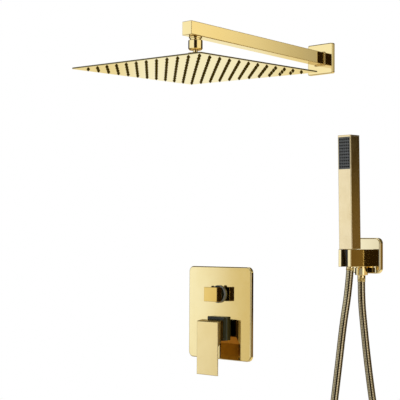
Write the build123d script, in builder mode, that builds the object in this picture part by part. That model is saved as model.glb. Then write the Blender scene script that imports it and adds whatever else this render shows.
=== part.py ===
from build123d import *
import math
import os

os.makedirs("parts", exist_ok=True)

# ---------------------------------------------------------------------------
# Concealed rain shower set: rain head on a wall arm, mixer with diverter,
# handset with holder outlet and hose.  Wall surface is y = 0, the room is -Y,
# X runs to the right along the wall, Z is up.  Origin: centre of the mixer
# cover plate, on the wall.
# ---------------------------------------------------------------------------

# mixer
PLATE_W, PLATE_H, PLATE_T, PLATE_R = 174.0, 194.0, 8.0, 12.0
CART_Z = -32.0          # cartridge axis height
DIV_Z = 39.5            # diverter axis height
SLEEVE_W, SLEEVE_H = 46.0, 49.5
SLEEVE_FRONT = 19.0     # sleeve front face, off the wall
LEVER_W, LEVER_TOP, LEVER_BOT = 58.6, -16.4, -127.0
LEVER_FRONT = 45.0
PIN_Y = -6.0            # lift axis of the lever
KNOB_W, KNOB_H, KNOB_BACK, KNOB_FRONT = 36.0, 30.0, 20.5, 36.0
PIPE_Y = 38.0           # depth of the in-wall pipes

# arm and rain head
XH, YH = 261.0, -366.0  # ball joint axis
ZA = 513.0              # arm axis height at the ball joint
ZW = 507.6              # arm axis height at the wall, the arm rises a little
RISE = (ZA - ZW) / -YH  # rise per millimetre off the wall
ARM_W, ARM_H, ARM_WALL = 22.0, 24.0, 2.0
ARM_END = 388.0
FLANGE_S, FLANGE_T = 59.5, 8.0
HEAD_S, HEAD_Z = 300.0, 442.5
NOZ_N, NOZ_P = 12, 23.6
ZB = 484.5              # ball centre
TILT = 1.67             # the head hangs this far off level in its ball joint, degrees
BALL_R = 8.0

# holder, handset, hose
XS, YS = 368.4, -59.0   # handset axis
OUT_Y = -22.0           # outlet axis
BRK_W, BRK_H, BRK_T, BRK_R, BRK_Z = 66.0, 64.0, 10.0, 10.0, 123.0
BLOCK_W, BLOCK_Z0, BLOCK_Z1, BLOCK_FRONT = 28.0, 104.0, 136.0, 76.5
HAND_A, HAND_Z0, HAND_Z1 = 29.0, 136.5, 347.0
LEAN = 1.3              # the handset leans this far off the wall, degrees
PANEL_W, PANEL_Z0, PANEL_Z1 = 25.6, 284.0, 343.4
HOSE_D = 14.0

# ======================================================================= mixer
with BuildPart() as mixer_cover_plate:
    with BuildSketch(Plane.XZ):
        RectangleRounded(PLATE_W, PLATE_H, PLATE_R)
    extrude(amount=PLATE_T)
    fillet(mixer_cover_plate.faces().sort_by(Axis.Y)[0].edges(), 2.4)
    # hollow back
    with BuildSketch(Plane.XZ):
        RectangleRounded(PLATE_W - 6, PLATE_H - 6, PLATE_R - 3)
    extrude(amount=PLATE_T - 2.5, mode=Mode.SUBTRACT)
    # openings for the cartridge and the diverter
    with BuildSketch(Plane.XZ):
        with Locations((0, CART_Z)):
            Circle(20.8)
        with Locations((0, DIV_Z)):
            Circle(13.3)
    extrude(amount=PLATE_T, mode=Mode.SUBTRACT)
mixer_cover_plate.part.label = "mixer_cover_plate"
export_step(mixer_cover_plate.part, "parts/mixer_cover_plate.step")

with BuildPart() as plate_gasket:
    with BuildSketch(Plane.XZ):
        RectangleRounded(PLATE_W - 6.6, PLATE_H - 6.6, PLATE_R - 3.3)
        RectangleRounded(PLATE_W - 26, PLATE_H - 26, 6, mode=Mode.SUBTRACT)
    extrude(amount=PLATE_T - 2.5)
plate_gasket.part.label = "plate_gasket"
export_step(plate_gasket.part, "parts/plate_gasket.step")

with BuildPart() as cartridge_sleeve:
    with BuildSketch(Plane.XZ.offset(PLATE_T)):
        with Locations((0, CART_Z)):
            RectangleRounded(SLEEVE_W, SLEEVE_H, 1.6)
    extrude(amount=SLEEVE_FRONT - PLATE_T)
    fillet(cartridge_sleeve.faces().sort_by(Axis.Y)[0].edges(), 0.8)
    with BuildSketch(Plane.XZ.offset(PLATE_T)):
        with Locations((0, CART_Z)):
            Rectangle(SLEEVE_W - 5, SLEEVE_H - 5)
    extrude(amount=SLEEVE_FRONT - PLATE_T - 2.5, mode=Mode.SUBTRACT)
    with BuildSketch(Plane.XZ.offset(PLATE_T)):
        with Locations((0, CART_Z)):
            Circle(13)
    extrude(amount=SLEEVE_FRONT - PLATE_T, mode=Mode.SUBTRACT)
cartridge_sleeve.part.label = "cartridge_sleeve"
export_step(cartridge_sleeve.part, "parts/cartridge_sleeve.step")

with BuildPart() as valve_body:
    # cast block in the wall, y = 16 ... 60
    with BuildSketch(Plane.XZ.offset(-16)):
        with Locations((0, 3)):
            RectangleRounded(84, 138, 12)
    extrude(amount=-44)
    fillet(valve_body.edges().filter_by(GeomType.LINE).filter_by(Axis.Y, reverse=True), 3)
    # cartridge and diverter bosses towards the room
    with BuildSketch(Plane.XZ.offset(-18)):
        with Locations((0, CART_Z)):
            Circle(20.4)
    extrude(amount=24)
    with BuildSketch(Plane.XZ.offset(-18)):
        with Locations((0, DIV_Z)):
            Circle(13)
    extrude(amount=22)
    # hot and cold inlets, left and right
    with BuildSketch(Plane.YZ.offset(-70)):
        with Locations((PIPE_Y, CART_Z)):
            Circle(14)
    extrude(amount=140)
    # outlet to the rain head, up
    with BuildSketch(Plane.XY.offset(60)):
        with Locations((0, PIPE_Y)):
            Circle(14)
    extrude(amount=34)
    # outlet to the handset, right
    with BuildSketch(Plane.YZ.offset(30)):
        with Locations((PIPE_Y, DIV_Z)):
            Circle(13)
    extrude(amount=34)
    # fixing bars at the back with four holes
    with BuildSketch(Plane.XZ.offset(-54)):
        with Locations((0, 63), (0, -57)):
            RectangleRounded(138, 18, 6)
    extrude(amount=-6)
    with BuildSketch(Plane.XZ.offset(-54)):
        with Locations((-60, 63), (60, 63), (-60, -57), (60, -57)):
            Circle(3)
    extrude(amount=-6, mode=Mode.SUBTRACT)
    # cartridge bore and diverter bore
    with BuildSketch(Plane.XZ.offset(6)):
        with Locations((0, CART_Z)):
            Circle(18)
    extrude(amount=-36, mode=Mode.SUBTRACT)
    with BuildSketch(Plane.XZ.offset(4)):
        with Locations((0, DIV_Z)):
            Circle(11.2)
    extrude(amount=-40, mode=Mode.SUBTRACT)
    # threaded inlet sockets and their passages
    with BuildSketch(Plane.YZ.offset(-70)):
        with Locations((PIPE_Y, CART_Z)):
            Circle(9.315)
    extrude(amount=18, mode=Mode.SUBTRACT)
    with BuildSketch(Plane.YZ.offset(70)):
        with Locations((PIPE_Y, CART_Z)):
            Circle(9.315)
    extrude(amount=-18, mode=Mode.SUBTRACT)
    with BuildSketch(Plane.YZ.offset(-60)):
        with Locations((PIPE_Y, CART_Z)):
            Circle(5.5)
    extrude(amount=50, mode=Mode.SUBTRACT)
    with BuildSketch(Plane.YZ.offset(60)):
        with Locations((PIPE_Y, CART_Z)):
            Circle(5.5)
    extrude(amount=-50, mode=Mode.SUBTRACT)
    # outlet sockets
    with BuildSketch(Plane.XY.offset(94)):
        with Locations((0, PIPE_Y)):
            Circle(7.6)
    extrude(amount=-16, mode=Mode.SUBTRACT)
    with BuildSketch(Plane.XY.offset(80)):
        with Locations((0, PIPE_Y)):
            Circle(5)
    extrude(amount=-40, mode=Mode.SUBTRACT)
    with BuildSketch(Plane.YZ.offset(64)):
        with Locations((PIPE_Y, DIV_Z)):
            Circle(7.6)
    extrude(amount=-16, mode=Mode.SUBTRACT)
    with BuildSketch(Plane.YZ.offset(50)):
        with Locations((PIPE_Y, DIV_Z)):
            Circle(5)
    extrude(amount=-50, mode=Mode.SUBTRACT)
valve_body.part.label = "valve_body"
export_step(valve_body.part, "parts/valve_body.step")

with BuildPart() as cartridge_body:
    with BuildSketch(Plane.XZ.offset(12)):
        with Locations((0, CART_Z)):
            Circle(17.95)
    extrude(amount=-41.9)
    with BuildSketch(Plane.XZ.offset(12)):
        with Locations((0, CART_Z)):
            Circle(11)
    extrude(amount=-16, mode=Mode.SUBTRACT)
    # ports in the bottom
    with BuildSketch(Plane.XZ.offset(-29.9)):
        with Locations((0, CART_Z)):
            with PolarLocations(9, 3, 90):
                Circle(4)
    extrude(amount=14, mode=Mode.SUBTRACT)
cartridge_body.part.label = "cartridge_body"
export_step(cartridge_body.part, "parts/cartridge_body.step")

with BuildPart() as cartridge_nut:
    with BuildSketch(Plane.XZ.offset(6)):
        with Locations((0, CART_Z)):
            Circle(20.2)
    extrude(amount=10)
    with BuildSketch(Plane.XZ.offset(6)):
        with Locations((0, CART_Z)):
            Circle(18)
    extrude(amount=6, mode=Mode.SUBTRACT)
    with BuildSketch(Plane.XZ.offset(6)):
        with Locations((0, CART_Z)):
            Circle(13)
    extrude(amount=10, mode=Mode.SUBTRACT)
    # spanner flats
    with BuildSketch(Plane.XZ.offset(12.2)):
        with Locations((0, CART_Z)):
            Circle(24)
            RegularPolygon(21.4, 6, mode=Mode.SUBTRACT)
    extrude(amount=3.8, mode=Mode.SUBTRACT)
cartridge_nut.part.label = "cartridge_nut"
export_step(cartridge_nut.part, "parts/cartridge_nut.step")

# rotor in the cartridge, turns with the lever
with BuildPart() as cartridge_carrier:
    with BuildSketch(Plane.XZ.offset(11.5)):
        with Locations((0, CART_Z)):
            Circle(10.6)
    extrude(amount=-14.5)
    with BuildSketch(Plane.XZ.offset(11.5)):
        with Locations((0, CART_Z)):
            Rectangle(9.6, 18)
    extrude(amount=-11.5, mode=Mode.SUBTRACT)
    with BuildSketch(Plane.YZ.offset(-12)):
        with Locations((PIN_Y, CART_Z)):
            Circle(1.5)
    extrude(amount=24, mode=Mode.SUBTRACT)
cartridge_carrier.part.label = "cartridge_carrier"
export_step(cartridge_carrier.part, "parts/cartridge_carrier.step")

with BuildPart() as carrier_pin:
    with BuildSketch(Plane.YZ.offset(-10)):
        with Locations((PIN_Y, CART_Z)):
            Circle(1.5)
    extrude(amount=20)
carrier_pin.part.label = "carrier_pin"
export_step(carrier_pin.part, "parts/carrier_pin.step")

with BuildPart() as lever_spindle:
    with BuildSketch(Plane.XZ.offset(3)):
        with Locations((0, CART_Z)):
            Rectangle(9, 9)
    extrude(amount=35.5)
    fillet(lever_spindle.edges().filter_by(Axis.X).group_by(Axis.Y)[-1], 2.5)
    with BuildSketch(Plane.YZ.offset(-6)):
        with Locations((PIN_Y, CART_Z)):
            Circle(1.55)
    extrude(amount=12, mode=Mode.SUBTRACT)
lever_spindle.part.label = "lever_spindle"
export_step(lever_spindle.part, "parts/lever_spindle.step")

# flat lever, thick at the top where it holds the spindle, with a top that rises towards the wall
with BuildPart() as lever_handle:
    with BuildSketch(Plane.YZ):
        with BuildLine():
            Polyline(
                (-LEVER_FRONT, LEVER_TOP),
                (-28.0, LEVER_TOP + 2.8),
                (-29.2, -50),
                (-41.6, -66),
                (-41.8, LEVER_BOT),
                (-LEVER_FRONT, LEVER_BOT),
                close=True,
            )
        make_face()
    extrude(amount=LEVER_W / 2, both=True)
    fillet(lever_handle.faces().sort_by(Axis.Y)[0].edges(), 1.2)
    # square socket for the spindle
    with BuildSketch(Plane.XZ.offset(27)):
        with Locations((0, CART_Z)):
            Rectangle(9.04, 9.04)
    extrude(amount=12, mode=Mode.SUBTRACT)
    # bevelled back edges on the thin part
    with BuildSketch(Plane.XY.offset(LEVER_BOT - 1)):
        with BuildLine():
            Polyline((LEVER_W / 2 - 4.8, -41.5), (LEVER_W / 2 + 1, -41.5), (LEVER_W / 2 + 1, -43.25), close=True)
        make_face()
        with BuildLine():
            Polyline((-LEVER_W / 2 + 4.8, -41.5), (-LEVER_W / 2 - 1, -41.5), (-LEVER_W / 2 - 1, -43.25), close=True)
        make_face()
    extrude(amount=-66.3 - LEVER_BOT + 1, mode=Mode.SUBTRACT)
    # set screw hole from below
    with BuildSketch(Plane.XY.offset(-78)):
        with Locations((0, -36)):
            Circle(2.5)
    extrude(amount=44, mode=Mode.SUBTRACT)
lever_handle.part.label = "lever_handle"
export_step(lever_handle.part, "parts/lever_handle.step")

with BuildPart() as lever_set_screw:
    with BuildSketch(Plane.XY.offset(CART_Z - 4.52)):
        with Locations((0, -36)):
            Circle(2.48)
    extrude(amount=-10)
    with BuildSketch(Plane.XY.offset(CART_Z - 14.52)):
        with Locations((0, -36)):
            RegularPolygon(1.4, 6)
    extrude(amount=3, mode=Mode.SUBTRACT)
lever_set_screw.part.label = "lever_set_screw"
export_step(lever_set_screw.part, "parts/lever_set_screw.step")

# -------------------------------------------------------------------- diverter
with BuildPart() as diverter_cartridge:
    with BuildSketch(Plane.XZ.offset(4)):
        with Locations((0, DIV_Z)):
            Circle(11.15)
    extrude(amount=-39.9)
    with BuildSketch(Plane.XZ.offset(4)):
        with Locations((0, DIV_Z)):
            Circle(9)
    extrude(amount=4)
    with BuildSketch(Plane.XZ.offset(8)):
        with Locations((0, DIV_Z)):
            Circle(4.06)
    extrude(amount=-30, mode=Mode.SUBTRACT)
diverter_cartridge.part.label = "diverter_cartridge"
export_step(diverter_cartridge.part, "parts/diverter_cartridge.step")

with BuildPart() as diverter_collar:
    with BuildSketch(Plane.XZ.offset(PLATE_T)):
        with Locations((0, DIV_Z)):
            Circle(18.5)
    extrude(amount=4.8)
    fillet(diverter_collar.faces().sort_by(Axis.Y)[0].edges(), 1.4)
    with BuildSketch(Plane.XZ.offset(PLATE_T)):
        with Locations((0, DIV_Z)):
            Circle(13.6)
    extrude(amount=11.5)
    with BuildSketch(Plane.XZ.offset(PLATE_T)):
        with Locations((0, DIV_Z)):
            Circle(11.2)
    extrude(amount=11.5, mode=Mode.SUBTRACT)
diverter_collar.part.label = "diverter_collar"
export_step(diverter_collar.part, "parts/diverter_collar.step")

with BuildPart() as diverter_spindle:
    with BuildSketch(Plane.XZ.offset(-20)):
        with Locations((0, DIV_Z)):
            Circle(4)
    extrude(amount=52)
diverter_spindle.part.label = "diverter_spindle"
export_step(diverter_spindle.part, "parts/diverter_spindle.step")

with BuildPart() as diverter_knob:
    with BuildSketch(Plane.XZ.offset(KNOB_BACK)):
        with Locations((0, DIV_Z)):
            Rectangle(KNOB_W, KNOB_H)
    extrude(amount=KNOB_FRONT - KNOB_BACK)
    fillet(diverter_knob.edges(), 0.7)
    with BuildSketch(Plane.XZ.offset(12)):
        with Locations((0, DIV_Z)):
            Circle(10)
    extrude(amount=10)
    with BuildSketch(Plane.XZ.offset(12)):
        with Locations((0, DIV_Z)):
            Circle(4.02)
    extrude(amount=20.1, mode=Mode.SUBTRACT)
    with BuildSketch(Plane.XY.offset(DIV_Z)):
        with Locations((0, -28)):
            Circle(2)
    extrude(amount=KNOB_H / 2 + 1, mode=Mode.SUBTRACT)
diverter_knob.part.label = "diverter_knob"
export_step(diverter_knob.part, "parts/diverter_knob.step")

# set screw from above, its domed head standing on the knob
with BuildPart() as diverter_set_screw:
    with BuildSketch(Plane.XY.offset(DIV_Z + 4.02)):
        with Locations((0, -28)):
            Circle(1.98)
    extrude(amount=KNOB_H / 2 - 3.5)
    with BuildSketch(Plane.XY.offset(DIV_Z + KNOB_H / 2 + 0.02)):
        with Locations((0, -28)):
            Circle(3.4)
    extrude(amount=3)
    fillet(diverter_set_screw.faces().sort_by(Axis.Z)[-1].edges(), 2.2)
    with BuildSketch(Plane.XY.offset(DIV_Z + KNOB_H / 2 + 3.02)):
        with Locations((0, -28)):
            RegularPolygon(1.0, 6)
    extrude(amount=-1.5, mode=Mode.SUBTRACT)
diverter_set_screw.part.label = "diverter_set_screw"
export_step(diverter_set_screw.part, "parts/diverter_set_screw.step")

# ========================================================================= arm
RISE_LONG = math.hypot(1, RISE)
ARM_END_Z = ZW + (ARM_END - 2) * RISE

with BuildPart() as arm_tube:
    with BuildSketch(Plane.XZ):
        with Locations((XH, ZW)):
            RectangleRounded(ARM_W, ARM_H, 1.2)
            Rectangle(ARM_W - 2 * ARM_WALL, ARM_H - 2 * ARM_WALL, mode=Mode.SUBTRACT)
    extrude(amount=(ARM_END - 2) * RISE_LONG, dir=(0, -1, RISE))
    # level seat and hole for the outlet nipple
    with BuildSketch(Plane.XY.offset(ZA - ARM_H / 2)):
        with Locations((XH, YH)):
            Circle(11.5)
    extrude(amount=-1, mode=Mode.SUBTRACT)
    with BuildSketch(Plane.XY.offset(ZA - ARM_H / 2)):
        with Locations((XH, YH)):
            Circle(7.4)
    extrude(amount=ARM_H / 2, mode=Mode.SUBTRACT)
arm_tube.part.label = "arm_tube"
export_step(arm_tube.part, "parts/arm_tube.step")

with BuildPart() as arm_end_cap:
    with BuildSketch(Plane.XZ.offset(ARM_END - 2)):
        with Locations((XH, ARM_END_Z)):
            RectangleRounded(ARM_W, ARM_H, 1.2)
    extrude(amount=2)
    fillet(arm_end_cap.faces().sort_by(Axis.Y)[0].edges(), 0.9)
    with BuildSketch(Plane.XZ.offset(ARM_END - 2)):
        with Locations((XH, ARM_END_Z)):
            Rectangle(ARM_W - 2 * ARM_WALL, ARM_H - 2 * ARM_WALL)
    extrude(amount=6 * RISE_LONG, dir=(0, 1, -RISE))
arm_end_cap.part.label = "arm_end_cap"
export_step(arm_end_cap.part, "parts/arm_end_cap.step")

with BuildPart() as arm_inlet_nipple:
    with BuildSketch(Plane.XZ.offset(12)):
        with Locations((XH, ZW + 12 * RISE)):
            Rectangle(ARM_W - 2 * ARM_WALL, ARM_H - 2 * ARM_WALL)
    extrude(amount=12 * RISE_LONG, dir=(0, 1, -RISE))
    with BuildSketch(Plane.XZ):
        with Locations((XH, ZW)):
            Circle(10.45)
    extrude(amount=-24)
    with BuildSketch(Plane.XZ.offset(12)):
        with Locations((XH, ZW)):
            Circle(6)
    extrude(amount=-36, mode=Mode.SUBTRACT)
arm_inlet_nipple.part.label = "arm_inlet_nipple"
export_step(arm_inlet_nipple.part, "parts/arm_inlet_nipple.step")

with BuildPart() as arm_wall_flange:
    with BuildSketch(Plane.XZ):
        with Locations((XH, ZW)):
            RectangleRounded(FLANGE_S, FLANGE_S, 3)
    extrude(amount=FLANGE_T)
    fillet(arm_wall_flange.faces().sort_by(Axis.Y)[0].edges(), 1.8)
    # raised lip round the arm
    with BuildSketch(Plane.XZ.offset(FLANGE_T)):
        with Locations((XH, ZW)):
            RectangleRounded(ARM_W + 4, ARM_H + 4, 2.5)
    extrude(amount=1.6)
    fillet(arm_wall_flange.faces().sort_by(Axis.Y)[0].edges(), 1.0)
    with BuildSketch(Plane.XZ):
        with Locations((XH, ZW)):
            RectangleRounded(FLANGE_S - 5, FLANGE_S - 5, 1)
    extrude(amount=FLANGE_T - 2.5, mode=Mode.SUBTRACT)
    with BuildSketch(Plane.XZ):
        with Locations((XH, ZW)):
            RectangleRounded(ARM_W + 0.3, ARM_H + 0.6, 1.3)
    extrude(amount=FLANGE_T + 2, mode=Mode.SUBTRACT)
arm_wall_flange.part.label = "arm_wall_flange"
export_step(arm_wall_flange.part, "parts/arm_wall_flange.step")

with BuildPart() as flange_gasket:
    with BuildSketch(Plane.XZ):
        with Locations((XH, ZW)):
            RectangleRounded(FLANGE_S - 5.6, FLANGE_S - 5.6, 0.8)
            RectangleRounded(ARM_W + 8, ARM_H + 8, 2, mode=Mode.SUBTRACT)
    extrude(amount=FLANGE_T - 2.5)
flange_gasket.part.label = "flange_gasket"
export_step(flange_gasket.part, "parts/flange_gasket.step")

with BuildPart() as arm_wall_elbow:
    with BuildSketch(Plane.XZ.offset(-6)):
        with Locations((XH, ZW)):
            Circle(14)
    extrude(amount=-34)
    with BuildSketch(Plane.XZ.offset(-26)):
        with Locations((XH, ZW)):
            RectangleRounded(28, 28, 5)
    extrude(amount=-30)
    with BuildSketch(Plane.YZ.offset(XH)):
        with Locations((PIPE_Y, ZW)):
            Circle(12)
    extrude(amount=-34)
    with BuildSketch(Plane.XZ.offset(-54)):
        with Locations((XH, ZW)):
            RectangleRounded(80, 32, 8)
    extrude(amount=-6)
    with BuildSketch(Plane.XZ.offset(-54)):
        with Locations((XH - 31, ZW), (XH + 31, ZW)):
            Circle(2.75)
    extrude(amount=-6, mode=Mode.SUBTRACT)
    with BuildSketch(Plane.XZ.offset(-6)):
        with Locations((XH, ZW)):
            Circle(10.5)
    extrude(amount=-19, mode=Mode.SUBTRACT)
    with BuildSketch(Plane.XZ.offset(-20)):
        with Locations((XH, ZW)):
            Circle(6)
    extrude(amount=-20, mode=Mode.SUBTRACT)
    with BuildSketch(Plane.YZ.offset(XH - 34)):
        with Locations((PIPE_Y, ZW)):
            Circle(7.6)
    extrude(amount=16, mode=Mode.SUBTRACT)
    with BuildSketch(Plane.YZ.offset(XH - 20)):
        with Locations((PIPE_Y, ZW)):
            Circle(5)
    extrude(amount=20, mode=Mode.SUBTRACT)
arm_wall_elbow.part.label = "arm_wall_elbow"
export_step(arm_wall_elbow.part, "parts/arm_wall_elbow.step")

with BuildPart() as riser_pipe:
    with BuildLine() as riser_path:
        FilletPolyline(
            (0, PIPE_Y, 78), (0, PIPE_Y, ZW), (XH - 18, PIPE_Y, ZW), radius=45
        )
    with BuildSketch(Plane.XY.offset(78)):
        with Locations((0, PIPE_Y)):
            Circle(7.5)
            Circle(6.5, mode=Mode.SUBTRACT)
    sweep(path=riser_path.line)
riser_pipe.part.label = "riser_pipe"
export_step(riser_pipe.part, "parts/riser_pipe.step")

with BuildPart() as handset_pipe:
    with BuildLine() as handset_path:
        FilletPolyline(
            (48, PIPE_Y, DIV_Z), (XS, PIPE_Y, DIV_Z), (XS, PIPE_Y, BRK_Z - 18), radius=30
        )
    with BuildSketch(Plane.YZ.offset(48)):
        with Locations((PIPE_Y, DIV_Z)):
            Circle(7.5)
            Circle(6.5, mode=Mode.SUBTRACT)
    sweep(path=handset_path.line)
handset_pipe.part.label = "handset_pipe"
export_step(handset_pipe.part, "parts/handset_pipe.step")

# four compression nuts on the pipe ends
with BuildPart() as pipe_nuts:
    with BuildSketch(Plane.XY.offset(94)):
        with Locations((0, PIPE_Y)):
            RegularPolygon(13.5, 6)
            Circle(7.55, mode=Mode.SUBTRACT)
    extrude(amount=14)
    with BuildSketch(Plane.YZ.offset(XH - 34)):
        with Locations((PIPE_Y, ZW)):
            RegularPolygon(13.5, 6)
            Circle(7.55, mode=Mode.SUBTRACT)
    extrude(amount=-14)
    with BuildSketch(Plane.YZ.offset(64)):
        with Locations((PIPE_Y, DIV_Z)):
            RegularPolygon(13.5, 6)
            Circle(7.55, mode=Mode.SUBTRACT)
    extrude(amount=14)
    with BuildSketch(Plane.XY.offset(BRK_Z - 34)):
        with Locations((XS, PIPE_Y)):
            RegularPolygon(13.5, 6)
            Circle(7.55, mode=Mode.SUBTRACT)
    extrude(amount=-14)
pipe_nuts.part.label = "pipe_nuts"
export_step(pipe_nuts.part, "parts/pipe_nuts.step")

# ================================================================== ball joint
# shouldered outlet nipple brazed into the underside of the arm
with BuildPart() as arm_outlet_nipple:
    with BuildSketch(Plane.XY.offset(490.2)):
        with Locations((XH, YH)):
            Circle(10.45)
    extrude(amount=4.8)
    with BuildSketch(Plane.XY.offset(495)):
        with Locations((XH, YH)):
            Circle(9.5)
    extrude(amount=2.5)
    with BuildSketch(Plane.XY.offset(497.5)):
        with Locations((XH, YH)):
            Circle(11.3)
    extrude(amount=ZA - ARM_H / 2 - 497.5)
    fillet(
        arm_outlet_nipple.edges().filter_by(GeomType.CIRCLE).filter_by(
            lambda e: abs(e.radius - 11.3) < 0.01
        ),
        0.7,
    )
    with BuildSketch(Plane.XY.offset(ZA - ARM_H / 2)):
        with Locations((XH, YH)):
            Circle(7.35)
    extrude(amount=8)
    with BuildSketch(Plane.XY.offset(490.2)):
        with Locations((XH, YH)):
            Circle(6.5)
    extrude(amount=4, mode=Mode.SUBTRACT)
    with BuildSketch(Plane.XY.offset(490.2)):
        with Locations((XH, YH)):
            Circle(4.5)
    extrude(amount=30, mode=Mode.SUBTRACT)
arm_outlet_nipple.part.label = "arm_outlet_nipple"
export_step(arm_outlet_nipple.part, "parts/arm_outlet_nipple.step")

with BuildPart() as ball_joint_nut:
    with BuildSketch(Plane.XY.offset(478)):
        with Locations((XH, YH)):
            Circle(12.4)
    extrude(amount=17)
    chamfer(ball_joint_nut.faces().sort_by(Axis.Z)[0].edges(), 1.8)
    fillet(ball_joint_nut.faces().sort_by(Axis.Z)[-1].edges(), 1.2)
    with BuildSketch(Plane.XY.offset(482.2)):
        with Locations((XH, YH)):
            Circle(10.5)
    extrude(amount=14, mode=Mode.SUBTRACT)
    with Locations((XH, YH, ZB)):
        Sphere(BALL_R + 0.3, mode=Mode.SUBTRACT)
    with BuildSketch(Plane.XY.offset(477)):
        with Locations((XH, YH)):
            Circle(5.9)
    extrude(amount=4, mode=Mode.SUBTRACT)
ball_joint_nut.part.label = "ball_joint_nut"
export_step(ball_joint_nut.part, "parts/ball_joint_nut.step")

with BuildPart() as ball_seal:
    with BuildSketch(Plane.XY.offset(488)):
        with Locations((XH, YH)):
            Circle(10.4)
            Circle(7.7, mode=Mode.SUBTRACT)
    extrude(amount=2.2)
ball_seal.part.label = "ball_seal"
export_step(ball_seal.part, "parts/ball_seal.step")

with BuildPart() as slip_ring:
    with BuildSketch(Plane.XY.offset(482.6)):
        with Locations((XH, YH)):
            Circle(10.15)
            Circle(BALL_R + 0.4, mode=Mode.SUBTRACT)
    extrude(amount=5.0)
slip_ring.part.label = "slip_ring"
export_step(slip_ring.part, "parts/slip_ring.step")

# the ball with its stem and the head hang tilted together
TILT_AXIS = Axis((XH, YH, ZB), (0.6765, 0.7364, 0))

with BuildPart() as swivel_ball:
    with Locations((XH, YH, ZB)):
        Sphere(BALL_R)
    with BuildSketch(Plane.XY.offset(467.4)):
        with Locations((XH, YH)):
            Circle(4)
    extrude(amount=ZB - 467.4)
    with BuildSketch(Plane.XY.offset(467.4)):
        with Locations((XH, YH)):
            Circle(7.5)
    extrude(amount=3)
    with BuildSketch(Plane.XY.offset(462)):
        with Locations((XH, YH)):
            Circle(2.5)
    extrude(amount=40, mode=Mode.SUBTRACT)
swivel_ball.part = swivel_ball.part.rotate(TILT_AXIS, TILT)
swivel_ball.part.label = "swivel_ball"
export_step(swivel_ball.part, "parts/swivel_ball.step")

# =================================================================== rain head
with BuildPart() as head_union_nut:
    with BuildSketch(Plane.XY.offset(456)):
        with Locations((XH, YH)):
            RegularPolygon(13.2, 6)
    extrude(amount=17)
    chamfer(head_union_nut.faces().sort_by(Axis.Z)[-1].edges(), 0.8)
    with BuildSketch(Plane.XY.offset(456)):
        with Locations((XH, YH)):
            Circle(10.05)
    extrude(amount=14.8, mode=Mode.SUBTRACT)
    with BuildSketch(Plane.XY.offset(456)):
        with Locations((XH, YH)):
            Circle(4.5)
    extrude(amount=17, mode=Mode.SUBTRACT)
head_union_nut.part = head_union_nut.part.rotate(TILT_AXIS, TILT)
head_union_nut.part.label = "head_union_nut"
export_step(head_union_nut.part, "parts/head_union_nut.step")

with BuildPart() as head_inlet_boss:
    with BuildSketch(Plane.XY.offset(448)):
        with Locations((XH, YH)):
            Circle(18)
    extrude(amount=2.5)
    fillet(head_inlet_boss.faces().sort_by(Axis.Z)[-1].edges(), 1)
    with BuildSketch(Plane.XY.offset(450)):
        with Locations((XH, YH)):
            Circle(10)
    extrude(amount=17)
    with BuildSketch(Plane.XY.offset(448)):
        with Locations((XH, YH)):
            Circle(4.5)
    extrude(amount=19, mode=Mode.SUBTRACT)
    with BuildSketch(Plane.XY.offset(467)):
        with Locations((XH, YH)):
            Circle(7.2)
    extrude(amount=-1.6, mode=Mode.SUBTRACT)
head_inlet_boss.part = head_inlet_boss.part.rotate(TILT_AXIS, TILT)
head_inlet_boss.part.label = "head_inlet_boss"
export_step(head_inlet_boss.part, "parts/head_inlet_boss.step")

with BuildPart() as stem_o_ring:
    with BuildSketch(Plane.XY.offset(465.4)):
        with Locations((XH, YH)):
            Circle(7.15)
            Circle(5.2, mode=Mode.SUBTRACT)
    extrude(amount=1.65)
stem_o_ring.part = stem_o_ring.part.rotate(TILT_AXIS, TILT)
stem_o_ring.part.label = "stem_o_ring"
export_step(stem_o_ring.part, "parts/stem_o_ring.step")

with BuildPart() as head_top_plate:
    with BuildSketch(Plane.XY.offset(HEAD_Z + 1)):
        with Locations((XH, YH)):
            RectangleRounded(HEAD_S, HEAD_S, 2.5)
    extrude(amount=1.6)
    fillet(head_top_plate.faces().sort_by(Axis.Z)[-1].edges(), 1.4)
    # raised water chamber
    with BuildSketch(Plane.XY.offset(HEAD_Z + 2)):
        with Locations((XH, YH)):
            Rectangle(276, 276)
    extrude(amount=3.5, taper=65)
    with BuildSketch(Plane.XY.offset(HEAD_Z + 1)):
        with Locations((XH, YH)):
            Rectangle(274, 274)
    extrude(amount=3.5, taper=65, mode=Mode.SUBTRACT)
    with BuildSketch(Plane.XY.offset(HEAD_Z + 1)):
        with Locations((XH, YH)):
            Circle(4.5)
    extrude(amount=8, mode=Mode.SUBTRACT)
head_top_plate.part = head_top_plate.part.rotate(TILT_AXIS, TILT)
head_top_plate.part.label = "head_top_plate"
export_step(head_top_plate.part, "parts/head_top_plate.step")

with BuildPart() as head_face_plate:
    with BuildSketch(Plane.XY.offset(HEAD_Z)):
        with Locations((XH, YH)):
            RectangleRounded(HEAD_S, HEAD_S, 2.5)
            with GridLocations(NOZ_P, NOZ_P, NOZ_N, NOZ_N):
                Circle(2.85, mode=Mode.SUBTRACT)
    extrude(amount=1)
head_face_plate.part = head_face_plate.part.rotate(TILT_AXIS, TILT)
head_face_plate.part.label = "head_face_plate"
export_step(head_face_plate.part, "parts/head_face_plate.step")

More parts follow.
